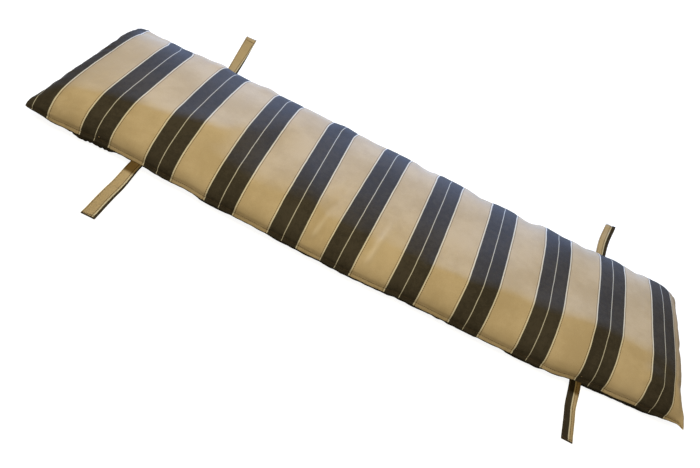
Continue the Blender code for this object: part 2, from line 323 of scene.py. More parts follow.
# The stripes are woven at one even pitch. Right of the fifth dark stripe the near seam tucks cloth
# away, and that tuck runs out toward the far side. Each dark stripe also leans and bows a little
# with the filling, and turns at the far rim. Spread is its width over the common width.
PERIOD = 0.146             # one dark and one tan stripe of cloth laid flat
STRIPE_PITCH = 0.1446      # as it lies on the filled cushion
FIRST_STRIPE = 0.0455      # the first dark stripe's middle, from the left seam
TUCKED_CLOTH = 0.0245      # taken up at the near seam
BEFORE_TUCK = 5            # dark stripes left of the tuck
LEAN_STARTS = 0.015        # distances from the near seam
LEAN_ENDS = 0.360
RIM = 0.400
LEFT_RIM_TURN = -0.010     # the first two stripes turn to the left at the far rim
RIM_TURN = 0.005           # and the others to the right
STRIPES = (
    {"lean": 0.002, "bow": -0.002, "spread": 1.250},
    {"lean": 0.002, "bow": 0.001, "spread": 0.960},
    {"lean": -0.005, "bow": -0.002, "spread": 0.985},
    {"lean": -0.006, "bow": -0.002, "spread": 1.000},
    {"lean": -0.005, "bow": 0.000, "spread": 1.000},
    {"lean": -0.006, "bow": 0.000, "spread": 1.000},
    {"lean": -0.008, "bow": 0.000, "spread": 1.000},
    {"lean": -0.006, "bow": 0.000, "spread": 1.000},
    {"lean": -0.008, "bow": 0.003, "spread": 1.000},
    {"lean": -0.010, "bow": 0.000, "spread": 0.955},
    {"lean": -0.025, "bow": -0.006, "spread": 0.930},
)
DARK_AND_LINES = 0.0385    # half a dark stripe with its cream and dark border lines


def stripe_place(left, near):
    """Place in the stripe pattern, in periods, at distances from the left and near seams."""
    arc = np.interp(left, lefts, left_arcs)
    run_in = np.clip((near - LEAN_STARTS) / (LEAN_ENDS - LEAN_STARTS), 0.0, 1.0)
    at_rim = ease((near - LEAN_ENDS) / (RIM - LEAN_ENDS))
    edges, places = [], []
    for stripe, row in enumerate(STRIPES):
        centre = FIRST_STRIPE + STRIPE_PITCH * stripe + row["lean"] * run_in
        centre = centre + row["bow"] * 4.0 * run_in * (1.0 - run_in)
        if stripe >= BEFORE_TUCK:
            centre = centre - TUCKED_CLOTH * (1.0 - run_in)
        centre = centre + (LEFT_RIM_TURN if stripe < 2 else RIM_TURN) * at_rim
        for side in (-DARK_AND_LINES, DARK_AND_LINES):
            edges.append(centre + side * row["spread"])
            places.append(stripe + side / PERIOD)
    edges = [edges[0] - PERIOD, *edges, edges[-1] + PERIOD]
    places = [places[0] - 1.0, *places, places[-1] + 1.0]
    place = np.zeros(left.shape)
    for k in range(len(edges) - 1):
        share = np.clip((arc - edges[k]) / (edges[k + 1] - edges[k]), 0.0, 1.0)
        place = np.where(share > 0.0, places[k] + (places[k + 1] - places[k]) * share, place)
    return place


place = stripe_place(left_grid, near_grid) * PERIOD
across_arc = np.broadcast_to(near_arcs, place.shape)
cloth_u = np.concatenate([place.reshape(-1), place[inner]])
cloth_v = np.concatenate([across_arc.reshape(-1), across_arc[inner]])
corner_points = faces.reshape(-1)
uv = np.stack([cloth_u[corner_points], cloth_v[corner_points]], -1)
uv_layer = skin.uv_layers.new(name="cloth")
uv_layer.data.foreach_set("uv", uv.reshape(-1))
home = skin.attributes.new("home", "FLOAT_VECTOR", "POINT")
home_values = np.concatenate([
    np.stack([left_grid, near_grid, np.ones_like(left_grid)], -1).reshape(-1, 3),
    np.stack([left_grid, near_grid, -np.ones_like(left_grid)], -1)[inner],
])
home.data.foreach_set("vector", home_values.reshape(-1))

finer = cushion.modifiers.new("finer", "SUBSURF")
finer.levels = finer.render_levels = 1
graph = bpy.context.evaluated_depsgraph_get()
fine_skin = bpy.data.meshes.new_from_object(
    cushion.evaluated_get(graph), preserve_all_data_layers=True, depsgraph=graph
)
cushion.modifiers.remove(finer)
cushion.vertex_groups.clear()
cushion.data = fine_skin

# Seam groove, fine gathers, the tuck between two stripes, and the pull of the woven borders
STITCHED_AT = near_arcs[1]     # the long sides are stitched this far above their seams
SEAM_GROOVE = 0.0017
GROOVE_REACH = 0.0030
GATHER_DEPTH = 0.0013
GATHER_REACH = 0.030
TUCK_AT_SEAM = -0.111
TUCK_AT_MIDDLE = -0.084
TUCK_HALF_WIDTH = 0.013
TUCK_DEPTH = 0.0040
BORDER_PULL = 0.0007
BORDER_AT = 0.0345         # from the dark stripe's middle
BORDER_HALF_WIDTH = 0.0045
# Gathers of the lower panel, which show beside the near left tie
SCALLOPS = {"x": -0.598, "half_width": 0.050, "pitch": 0.0110, "height": 0.0032, "reach": 0.03}
SAG_DEPTH = 0.0060         # the far edge sags at the tan fields, right of the middle
SAG_HALF_WIDTH = 0.024
SAG_REACH = 0.100
SAG_AT = -0.452            # in stripe repeats from a dark stripe's middle
FLAT_BELOW = 0.0008        # what lies this near the ground gets no relief
# Where the far edge stands a little fuller, or less full, than its even line
FAR_EDGE_HALF_WIDTH = 0.021
FAR_EDGE = (
    {"x": -0.680, "height": -0.0030}, {"x": -0.605, "height": -0.0022}, {"x": -0.498, "height": 0.0056},
    {"x": -0.370, "height": 0.0056}, {"x": -0.164, "height": 0.0033}, {"x": 0.235, "height": -0.0022},
    {"x": 0.326, "height": -0.0042}, {"x": 0.371, "height": 0.0034}, {"x": 0.432, "height": -0.0030},
    {"x": 0.508, "height": 0.0036}, {"x": 0.569, "height": 0.0026}, {"x": 0.641, "height": 0.0024},
)
# Standing folds, three narrow and one broad: they stand highest near the seam, run out toward the
# middle, and the cloth on the narrow ones is painted paler, a painted highlight where they catch the light
FOLDS = (
    {"x": -0.108, "lean": 0.17, "near": 0.024, "half_width": 0.0050, "runs_in": 0.042, "falls_over": 0.010,
     "height": 0.0040, "painted_highlight": 0.80},
    {"x": 0.012, "lean": 0.16, "near": 0.024, "half_width": 0.0060, "runs_in": 0.065, "falls_over": 0.010,
     "height": 0.0045, "painted_highlight": 1.00},
    {"x": 0.128, "lean": 0.10, "near": 0.040, "half_width": 0.0070, "runs_in": 0.030, "falls_over": 0.014,
     "height": 0.0020, "painted_highlight": 0.15},
    {"x": 0.655, "lean": -0.10, "near": 0.046, "half_width": 0.0280, "runs_in": 0.042, "falls_over": 0.014,
     "height": 0.0080, "painted_highlight": 0.00},
)

count = len(fine_skin.vertices)
points = np.empty(count * 3)
fine_skin.vertices.foreach_get("co", points)
points = points.reshape(-1, 3)
normals = np.empty(count * 3)
fine_skin.vertices.foreach_get("normal", normals)
normals = normals.reshape(-1, 3)
home_values = np.empty(count * 3)
fine_skin.attributes["home"].data.foreach_get("vector", home_values)
home_values = home_values.reshape(-1, 3)
left, near, panel = home_values.T
from_end = np.minimum(left, LENGTH - left)
from_side = np.minimum(near, WIDTH - near)
from_seam = np.minimum(from_end, from_side)
flat_x = drawn_in(left - LENGTH / 2, near - WIDTH / 2)[0]


def gathers(position, seed):
    """Uneven small folds along a seam, from a few waves that drift against each other."""
    waves = ((0.031, 1.0), (0.0195, 0.7), (0.0127, 0.35))
    total = np.zeros_like(position)
    for k, (length, share) in enumerate(waves):
        drift = 0.8 * np.sin(position * (7.0 + 3.0 * k) + seed)
        total += share * np.sin(math.tau * position / length + drift * math.tau + seed * (k + 1))
    return total / 2.05


patchy = 0.55 + 0.45 * np.sin(left * 11.0 + 1.3) * np.sin(left * 4.3 + near * 3.0)
side_gathers = gathers(left, 0.7) * np.exp(-from_side / GATHER_REACH)
end_gathers = gathers(near, 2.9) * np.exp(-from_end / GATHER_REACH)
relief = GATHER_DEPTH * patchy * (side_gathers + end_gathers)
relief *= 1.0 - np.exp(-from_seam / 0.004)
side_arc = np.interp(from_side, nears[:len(nears) // 2], near_arcs[:len(nears) // 2])
groove = SEAM_GROOVE * np.exp(-(((side_arc - STITCHED_AT) / GROOVE_REACH) ** 2))
relief -= np.where(panel > 0, groove * ease(from_end / 0.02), 0.0)
inward = np.clip(near / (WIDTH / 2), 0.0, 1.0)
tuck_line = TUCK_AT_SEAM + (TUCK_AT_MIDDLE - TUCK_AT_SEAM) * inward
tuck = np.exp(-(((flat_x - tuck_line) / TUCK_HALF_WIDTH) ** 2)) * (1.0 - ease(inward))
relief -= np.where(panel > 0, TUCK_DEPTH * tuck * ease(from_side / 0.012), 0.0)
stripe_phase = ((stripe_place(left, near) + 0.5) % 1.0 - 0.5) * PERIOD
border = np.exp(-(((np.abs(stripe_phase) - BORDER_AT) / BORDER_HALF_WIDTH) ** 2))
relief -= np.where(panel > 0, BORDER_PULL * border, 0.0)
sag_phase = ((stripe_place(left, near) - SAG_AT + 0.5) % 1.0 - 0.5) * PERIOD
far_edge = -SAG_DEPTH * np.exp(-((sag_phase / SAG_HALF_WIDTH) ** 2)) * ease((flat_x + 0.15) / 0.15)
for place in FAR_EDGE:
    far_edge += place["height"] * np.exp(-(((flat_x - place["x"]) / FAR_EDGE_HALF_WIDTH) ** 2))
far_edge *= ease(1.0 - (WIDTH - near) / SAG_REACH) * ease(from_end / 0.05)
relief += np.where(panel > 0, far_edge, 0.0)
off_middle = (flat_x - SCALLOPS["x"]) / SCALLOPS["half_width"]
scallop = np.exp(-(off_middle ** 4) - near / SCALLOPS["reach"])
scallop *= np.abs(np.sin(math.pi * left / SCALLOPS["pitch"]))
relief += np.where(panel < 0, SCALLOPS["height"] * scallop, 0.0)
# Painted highlight: how much paler each fold's cloth is painted, standing in for the light on its crest
painted_highlight = np.zeros(count)
for fold in FOLDS:
    off_line = (flat_x - fold["x"] - fold["lean"] * (near - fold["near"])) / fold["half_width"]
    along_line = near - fold["near"]
    along_line = along_line / np.where(along_line > 0.0, fold["runs_in"], fold["falls_over"])
    ridge = np.exp(-(off_line ** 2) - along_line ** 2) * np.where(panel > 0, ease(from_seam / 0.03), 0.0)
    relief += fold["height"] * ridge
    painted_highlight += fold["painted_highlight"] * ridge
on_ground = points[:, 2] < FLAT_BELOW
relief[on_ground] = 0.0
points = points + normals * relief[:, None]
points[:, 2] = np.maximum(points[:, 2], 0.0)
fine_skin.vertices.foreach_set("co", points.reshape(-1))
fine_skin.attributes.new("painted_highlight", "FLOAT", "POINT").data.foreach_set("value", painted_highlight)
fine_skin.update()
fine_skin.shade_smooth()


class Yarn:
    """One value in a material's node tree, so that shader sums read as plain arithmetic."""

    def __init__(self, tree, socket=None):
        self.tree = tree
        self.socket = socket

    def make(self, kind, settings=None, inputs=None, out=0):
        """Add any node: its type, its settings, then the values or links of its sockets."""
        node = self.tree.nodes.new(kind)
        for name, value in (settings or {}).items():
            setattr(node, name, value)
        for key, value in (inputs or {}).items():
            if isinstance(value, Yarn):
                self.tree.links.new(value.socket, node.inputs[key])
            else:
                node.inputs[key].default_value = value
        return Yarn(self.tree, node.outputs[out])

    def maths(self, operation, first, second=0.0):
        return self.make("ShaderNodeMath", {"operation": operation}, {0: first, 1: second})

    def __add__(self, other):
        return self.maths("ADD", self, other)

    __radd__ = __add__

    def __sub__(self, other):
        return self.maths("SUBTRACT", self, other)

    def __rsub__(self, other):
        return self.maths("SUBTRACT", other, self)

    def __mul__(self, other):
        return self.maths("MULTIPLY", self, other)

    __rmul__ = __mul__

    def __mod__(self, other):
        return self.maths("FLOORED_MODULO", self, other)

    def __abs__(self):
        return self.maths("ABSOLUTE", self)

    def sine(self):
        return self.maths("SINE", self)

    def step(self, low, high):
        """0 below low, 1 above high, eased between."""
        settings = {"interpolation_type": "SMOOTHSTEP"}
        return self.make("ShaderNodeMapRange", settings, {0: self, 1: low, 2: high})

    def band(self, centre, half_width, soft):
        """1 inside a line around centre, 0 outside it."""
        return 1.0 - abs(self - centre).step(half_width - soft, half_width + soft)

    def blend(self, first, second, how="MIX"):
        """Mix two colours by this value."""
        settings = {"data_type": "RGBA", "blend_type": how, "clamp_factor": True}
        node = self.make("ShaderNodeMix", settings, {0: self}, out=2)
        for key, value in ((6, first), (7, second)):
            target = node.socket.node.inputs[key]
            if isinstance(value, Yarn):
                self.tree.links.new(value.socket, target)
            else:
                target.default_value = value
        return node


TAN = (0.405, 0.312, 0.190, 1.0)
TAN_WORN = (0.475, 0.373, 0.242, 1.0)
# Painted highlight: the pale colour that fold crests and the far ties are painted toward, in place of
# light falling on them
HIGHLIGHT_PALE = (0.640, 0.545, 0.440, 1.0)
CHARCOAL = (0.036, 0.0300, 0.0215, 1.0)
CHARCOAL_WORN = (0.051, 0.0425, 0.0310, 1.0)
# Painted shade: the near-black of the lower panel, standing in for the shade on the underside below the
# near seam
BASE_SHADE_BLACK = (0.022, 0.018, 0.012, 1.0)
CREAM = (0.600, 0.570, 0.485, 1.0)
LINE_DARK = (0.060, 0.045, 0.032, 1.0)
ROOT_SHADE_BROWN = (0.28, 0.22, 0.12, 1.0)   # painted shade: a tie's darkening where the cushion shades its sewn end
PIN_HALF_WIDTH = 0.00075
DARK_HALF_WIDTH = 0.0320
CREAM_OUTER = 0.0342
THREAD_LINE = 0.0360
YARN_PITCH = 0.0011
TWILL_PITCH = 0.0031
DASH_PITCH = 0.0042        # of the dark thread line, which shows as dashes


def woven_cloth(name, roughness, striped=True, root=None):
    """Cloth that follows the cloth map, in metres: striped, or plain near-black as painted shade; root is
    the length of painted shade at a strap's sewn start.
    """
    material = bpy.data.materials.new(name)
    material.use_nodes = True
    tree = material.node_tree
    shader = tree.nodes["Principled BSDF"]
    start = Yarn(tree)
    chart = start.make("ShaderNodeUVMap", {"uv_map": "cloth"})
    along = start.make("ShaderNodeSeparateXYZ", None, {0: chart}, out=0)
    across = Yarn(tree, along.socket.node.outputs[1])
    wander_map = start.make("ShaderNodeTexNoise", {"noise_dimensions": "2D"},
                            {"Vector": chart, "Scale": 26.0, "Detail": 2.0})
    wander = (wander_map - 0.5) * 0.0012
    phase = (along + wander + PERIOD / 2) % PERIOD - PERIOD / 2
    from_pin = abs(phase)
    cross_yarn = (across * (math.tau / YARN_PITCH)).sine()
    long_yarn = (along * (math.tau / YARN_PITCH)).sine()
    twill = ((along + across) * (math.tau / TWILL_PITCH)).sine()

    dark = 1.0 - from_pin.step(DARK_HALF_WIDTH - 0.0004, DARK_HALF_WIDTH + 0.0004)
    cream = from_pin.band((DARK_HALF_WIDTH + CREAM_OUTER) / 2, (CREAM_OUTER - DARK_HALF_WIDTH) / 2, 0.0004)
    pin = from_pin.band(0.0, PIN_HALF_WIDTH, 0.0004) * (0.77 + 0.14 * twill)
    dashes = (across * (math.tau / DASH_PITCH)).sine().step(-0.5, 0.1)
    thread = from_pin.band(THREAD_LINE, 0.0006, 0.0003) * (0.35 + 0.65 * dashes)

    broad = start.make("ShaderNodeTexNoise", {"noise_dimensions": "2D"},
                       {"Vector": chart, "Scale": 9.0, "Detail": 4.0, "Roughness": 0.55})
    fine = start.make("ShaderNodeTexNoise", {"noise_dimensions": "2D"},
                      {"Vector": chart, "Scale": 320.0, "Detail": 2.0})
    specks = start.make("ShaderNodeTexNoise", {"noise_dimensions": "2D"},
                        {"Vector": chart, "Scale": 75.0, "Detail": 3.0, "Roughness": 0.7})
    wear = (broad * 0.40 + specks * 0.40 + fine * 0.20).step(0.38, 0.62)
    tan = (broad * 0.70 + specks * 0.15 + fine * 0.15).step(0.34, 0.66).blend(TAN, TAN_WORN)
    # Painted highlight: tan is painted paler by the attribute read here, on fold crests and on the far
    # ties
    painted_highlight = start.make("ShaderNodeAttribute", {"attribute_name": "painted_highlight"}, out=2)
    tan = (painted_highlight * 0.55).blend(tan, HIGHLIGHT_PALE)
    charcoal = wear.blend(CHARCOAL, CHARCOAL_WORN)
    cloth_colour = dark.blend(tan, charcoal)
    cloth_colour = (cream * (0.90 + 0.10 * twill)).blend(cloth_colour, CREAM)
    cloth_colour = thread.blend(cloth_colour, LINE_DARK)
    cloth_colour = pin.blend(cloth_colour, CREAM)
    # Painted shade: the lower panel is plain near-black instead of striped, for the shade on the underside
    if not striped:
        cloth_colour = wear.blend(BASE_SHADE_BLACK, CHARCOAL)
    weave = cross_yarn * long_yarn
    # With root given, the whole tie cloth is 10% darker; then painted shade darkens its first root metres
    # toward brown, where the cushion shades it
    shade = (0.94 + 0.06 * weave) * (0.90 if root else 1.0)
    if root:
        root_shade_mask = 1.0 - (across % 0.4 + wander * 3.0).step(root * 0.85, root * 1.15)
        cloth_colour = root_shade_mask.blend(cloth_colour, ROOT_SHADE_BROWN, "MULTIPLY")
    grey = start.make("ShaderNodeCombineColor", None, {0: shade, 1: shade, 2: shade})
    one = start.make("ShaderNodeValue")
    one.socket.default_value = 1.0
    cloth_colour = one.blend(cloth_colour, grey, "MULTIPLY")
    tree.links.new(cloth_colour.socket, shader.inputs["Base Color"])
    rough = roughness + (fine - 0.5) * 0.12 + wear * 0.05
    tree.links.new(rough.socket, shader.inputs["Roughness"])
    height = weave * 0.00007 + fine * 0.00012 + cream * 0.00008 + pin * 0.00008
    bump = start.make("ShaderNodeBump", None, {"Strength": 0.55, "Distance": 1.0, "Height": height})
    tree.links.new(bump.socket, shader.inputs["Normal"])
    shader.inputs["Sheen Weight"].default_value = 0.04
    shader.inputs["Sheen Roughness"].default_value = 0.45
    shader.inputs["Specular IOR Level"].default_value = 0.014
    return material


fine_skin.materials.clear()
fine_skin.materials.append(woven_cloth("woven_stripe", 0.52))
# The lower panel gets the plain near-black painted shade
fine_skin.materials.append(woven_cloth("base_painted_shade", 0.70, striped=False))
is_lower = np.arange(len(fine_skin.polygons)) >= top_count * 4
fine_skin.polygons.foreach_set("material_index", is_lower.astype(np.int32))
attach(cushion, "root")
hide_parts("cushion")

# The seam's stitching
# Both panels and the ties are caught by one line of brown machine stitches, 3 mm long, that sinks
# into the cloth. A few lighter thread ends were left uncut.

STITCH_SPACING = 0.0044
STITCH_LENGTH = 0.0031
THREAD_RADIUS = 0.00042
THREAD_COLOUR = (0.085, 0.055, 0.028, 1.0)
THREAD_ROUGHNESS = 0.75
LOOSE_COLOUR = (0.620, 0.430, 0.250, 1.0)


def thread_material(name, colour):
    """Dull spun thread with a fine lengthwise twist in its height."""
    material = bpy.data.materials.new(name)
    material.use_nodes = True
    tree = material.node_tree
    shader = tree.nodes["Principled BSDF"]
    start = Yarn(tree)
    where = start.make("ShaderNodeTexCoord", out=3)
    grain = start.make("ShaderNodeTexNoise", None, {"Vector": where, "Scale": 900.0, "Detail": 1.0})
    shade = tuple(part * 0.7 for part in colour[:3]) + (1.0,)
    tree.links.new(grain.blend(shade, colour).socket, shader.inputs["Base Color"])
    bump = start.make("ShaderNodeBump", None, {"Strength": 0.4, "Distance": 0.001, "Height": grain})
    tree.links.new(bump.socket, shader.inputs["Normal"])
    shader.inputs["Roughness"].default_value = THREAD_ROUGHNESS
    shader.inputs["Specular IOR Level"].default_value = 0.1
    return material


class Stitching:
    """A node group that sews stitches along a line, each pointing out by the line's attribute."""

    def __init__(self):
        self.tree = bpy.data.node_groups.new("stitching", "GeometryNodeTree")
        side = self.tree.interface
        side.new_socket("Geometry", in_out="OUTPUT", socket_type="NodeSocketGeometry")
        side.new_socket("Line", in_out="INPUT", socket_type="NodeSocketGeometry")
        for name in ("Spacing", "Length", "Radius", "Arch", "Unevenness"):
            side.new_socket(name, in_out="INPUT", socket_type="NodeSocketFloat")
        side.new_socket("Seed", in_out="INPUT", socket_type="NodeSocketInt")
        side.new_socket("Thread", in_out="INPUT", socket_type="NodeSocketMaterial")
        self.given = self.tree.nodes.new("NodeGroupInput")
        self.wire()

    def make(self, kind, settings=None, inputs=None):
        """Add a node; an input given as a tuple of node and socket name is a link."""
        node = self.tree.nodes.new(kind)
        for name, value in (settings or {}).items():
            setattr(node, name, value)
        for key, value in (inputs or {}).items():
            if isinstance(value, bpy.types.NodeSocket):
                self.tree.links.new(value, node.inputs[key])
            else:
                node.inputs[key].default_value = value
        return node

    def wire(self):
        given = self.given.outputs
        half = self.make("ShaderNodeMath", {"operation": "MULTIPLY"}, {0: given["Length"], 1: 0.5})
        back = self.make("ShaderNodeMath", {"operation": "MULTIPLY"}, {0: half.outputs[0], 1: -1.0})
        first = self.make("ShaderNodeCombineXYZ", None, {"X": back.outputs[0]})
        last = self.make("ShaderNodeCombineXYZ", None, {"X": half.outputs[0]})
        top = self.make("ShaderNodeCombineXYZ", None, {"Z": given["Arch"]})
        arch = self.make("GeometryNodeCurveQuadraticBezier", None,
                         {"Resolution": 6, "Start": first.outputs[0], "Middle": top.outputs[0],
                          "End": last.outputs[0]})
        ring = self.make("GeometryNodeCurvePrimitiveCircle", None,
                         {"Resolution": 6, "Radius": given["Radius"]})
        thread = self.make("GeometryNodeCurveToMesh", None,
                           {"Curve": arch.outputs[0], "Profile Curve": ring.outputs[0],
                            "Fill Caps": True})
        curve = self.make("GeometryNodeMeshToCurve", None, {"Mesh": given["Line"]})
        spaced = self.make("GeometryNodeResampleCurve", {"mode": "LENGTH"},
                           {"Curve": curve.outputs[0], "Length": given["Spacing"]})
        outward = self.make("GeometryNodeInputNamedAttribute", {"data_type": "FLOAT_VECTOR"},
                            {"Name": "outward"})
        tangent = self.make("GeometryNodeInputTangent")
        turn = self.make("FunctionNodeAxesToRotation", {"primary_axis": "Z", "secondary_axis": "X"},
                         {"Primary Axis": outward.outputs[0], "Secondary Axis": tangent.outputs[0]})
        least = self.make("ShaderNodeMath", {"operation": "SUBTRACT"},
                          {0: 1.0, 1: given["Unevenness"]})
        most = self.make("ShaderNodeMath", {"operation": "ADD"}, {0: 1.0, 1: given["Unevenness"]})
        size = self.make("FunctionNodeRandomValue", {"data_type": "FLOAT"},
                         {2: least.outputs[0], 3: most.outputs[0], "Seed": given["Seed"]})
        sewn = self.make("GeometryNodeInstanceOnPoints", None,
                         {"Points": spaced.outputs[0], "Instance": thread.outputs[0],
                          "Rotation": turn.outputs[0], "Scale": size.outputs[1]})
        real = self.make("GeometryNodeRealizeInstances", None, {"Geometry": sewn.outputs[0]})
        dyed = self.make("GeometryNodeSetMaterial", None,
                         {"Geometry": real.outputs[0], "Material": given["Thread"]})
        done = self.make("NodeGroupOutput")
        self.tree.links.new(dyed.outputs[0], done.inputs[0])

    def sew(self, name, lines, values):
        """Stitches as one finished object along lines of (points, outward vectors, closed)."""
        points, outs, edges = [], [], []
        for line, out, closed in lines:
            first = len(points)
            points.extend(map(tuple, line))
            outs.extend(map(tuple, out))
            edges.extend((first + k, first + k + 1) for k in range(len(line) - 1))
            if closed:
                edges.append((len(points) - 1, first))
        mesh = bpy.data.meshes.new(name + "_line")
        mesh.from_pydata(points, edges, [])
        field = mesh.attributes.new("outward", "FLOAT_VECTOR", "POINT")
        field.data.foreach_set("vector", np.array(outs, float).reshape(-1))
        line_object = bpy.data.objects.new(name + "_line", mesh)
        bpy.context.scene.collection.objects.link(line_object)
        sewing = line_object.modifiers.new("sewing", "NODES")
        sewing.node_group = self.tree
        for item in self.tree.interface.items_tree:
            if item.item_type == "SOCKET" and item.in_out == "INPUT" and item.name in values:
                sewing[item.identifier] = values[item.name]
        graph = bpy.context.evaluated_depsgraph_get()
        finished = bpy.data.meshes.new_from_object(line_object.evaluated_get(graph))
        line_object.modifiers.remove(sewing)
        bpy.data.objects.remove(line_object)
        stitches = bpy.data.objects.new(name, finished)
        bpy.context.scene.collection.objects.link(stitches)
        return stitches


stitching = Stitching()
brown_thread = thread_material("brown_thread", THREAD_COLOUR)
loose_thread = thread_material("loose_thread", LOOSE_COLOUR)
fine_skin.vertices.foreach_get("normal", normals.reshape(-1))
stitched = []
for side in (near, WIDTH - near):
    row = np.nonzero((panel > 0) & (np.abs(side - nears[1]) < 2e-4) & (from_end > 0.006))[0]
    row = row[np.argsort(left[row])]
    stitched.append({"left": left[row], "line": points[row] + normals[row] * 0.0001,
                     "out": normals[row]})
seam_stitches = stitching.sew(
    "seam_stitches", [(side["line"], side["out"], False) for side in stitched],
    {"Spacing": STITCH_SPACING, "Length": STITCH_LENGTH, "Radius": THREAD_RADIUS,
     "Arch": 0.0009, "Unevenness": 0.12, "Seed": 4, "Thread": brown_thread},
)
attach(seam_stitches, "root")

# Where uncut ends stand on the near side: distance from the left seam, and how many
LOOSE_ABOVE = 0.005         # they stand this far up the panel from the stitches
LOOSE_ENDS = (
    {"from_left": 0.164, "ends": 3},
    {"from_left": 1.1185, "ends": 1},
    {"from_left": 1.265, "ends": 1},
    {"from_left": 1.287, "ends": 2},
)
loose_lines = []
chance = np.random.default_rng(11)
near_side = stitched[0]
for row in LOOSE_ENDS:
    for end in range(row["ends"]):
        at = np.argmin(np.abs(near_side["left"] - row["from_left"] - 0.0045 * end))
        climb = np.cross(near_side["out"][at], (1.0, 0.0, 0.0))
        start_point = near_side["line"][at] + near_side["out"][at] * 0.0006 + climb * LOOSE_ABOVE
        heading = chance.normal(0.0, 1.0, 3) * (1.0, 0.3, 0.6) + (0.0, 0.0, 0.8)
        heading = heading / np.linalg.norm(heading)
        loose_lines.append(([start_point, start_point + heading * 0.0018],
                            [near_side["out"][at]] * 2, False))
loose_ends = stitching.sew(
    "loose_ends", loose_lines,
    {"Spacing": 0.0030, "Length": 0.0019, "Radius": 0.00034, "Arch": 0.0010,
     "Unevenness": 0.3, "Seed": 9, "Thread": loose_thread},
)
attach(loose_ends, "root")

# The four ties
# Each tie is a strip of the same cloth folded lengthwise into a flat strap, sewn down both edges
# and across its turned end, and caught in the side seam. The near two lie down on the ground.

TIE_WIDTH = 0.026
TIE_THICKNESS = 0.0022
HEM_THICKNESS = 0.0030
HEM_LENGTH = 0.012
TIE_GAP = 0.0003
TUCKED_IN = 0.005          # how far a strap runs on inside the seam that holds it
LIP_DEPTH = 0.0016
TIE_STEP = 0.0022
STITCHED_IN = 0.410        # share of the width from the middle to each stitched edge
END_STITCHED = 0.0016
END_ROUND = 0.0012         # the free end's edge is rounded over this length
EDGE_SHARE = 0.35          # of the thickness, left at the very edge
END_SHADE_PLACE = 0.012          # painted shade: the near ties' last 2 mm are mapped into a dark stripe, for the shade on the free end's edge
# The stripe is where the strap's left edge falls in the stripe repeat, and drift is how far that moves
# by its free end; slant is how much further the right edge reaches; hem is the turned end's stitch
# line; the paleness column is how much paler its cloth is painted, painted light from the far side
TIES = {
    "tie_near_left": {"root_x": -0.4970, "end_x": -0.4985, "reach": 0.171, "end_height": 0.0,
                      "bend": -0.0025, "lands_at": 0.42, "widens": 1.12, "slant": 0.0,
                      "stripe": -0.0552, "drift": 0.0004, "hem": 0.0050, "painted_paler": 0.0},
    "tie_near_right": {"root_x": 0.5040, "end_x": 0.5010, "reach": 0.142, "end_height": 0.0,
                       "bend": 0.0015, "lands_at": 0.46, "widens": 0.93, "slant": 0.0,
                       "stripe": 0.0187, "drift": -0.0010, "hem": 0.0050, "painted_paler": 0.0},
    "tie_far_left": {"root_x": -0.4865, "end_x": -0.4985, "reach": 0.150, "end_height": 0.0640,
                     "bend": 0.0010, "lands_at": None, "widens": 1.08, "slant": 0.0,
                     "stripe": -0.0520, "drift": -0.0085, "hem": 0.0145, "painted_paler": 0.15},
    "tie_far_right": {"root_x": 0.5525, "end_x": 0.5655, "reach": 0.132, "end_height": 0.0500,
                      "bend": -0.0050, "lands_at": None, "widens": 1.04, "slant": 0.0100,
                      "stripe": -0.0500, "drift": 0.0008, "hem": 0.0050, "painted_paler": 0.50},
}


def tie_centre(tie, side, share):
    """Centre of a tie at a share of its length, from the sewn end to the free end."""
    bow = float(table_value(NEAR_SEAM_BOW, "out", np.array(tie["root_x"]))) if side < 0 else 0.0
    root_y = WIDTH / 2 + bow + LIP_DEPTH + TIE_GAP
    x = tie["root_x"] + (tie["end_x"] - tie["root_x"]) * share
    x += tie["bend"] * math.sin(math.pi * max(share, 0.0)) ** 1.5
    y = side * (root_y + tie["reach"] * share)
    if tie["lands_at"] is None:
        rise = 1.35 * share - 0.35 * share ** 2
        return Vector((x, y, SEAM_HEIGHT + (tie["end_height"] - SEAM_HEIGHT) * rise))
    drop = 1.0 - float(ease(share / tie["lands_at"]))
    return Vector((x, y, TIE_THICKNESS / 2 + (SEAM_HEIGHT - TIE_THICKNESS / 2) * drop))


def tie_section(thick):
    """Half a strap's outline, right edge to left edge, as (across, up) shares of its width."""
    flat = ((0.5, 0.0), (0.495, 0.32), (0.47, 0.5), (0.40, 0.44), (0.385, 0.36), (0.37, 0.44),
            (0.20, 0.46), (0.0, 0.45), (-0.20, 0.46), (-0.37, 0.44), (-0.385, 0.36),
            (-0.40, 0.44), (-0.47, 0.5), (-0.495, 0.32), (-0.5, 0.0))
    return [(across * TIE_WIDTH, up * thick) for across, up in flat]


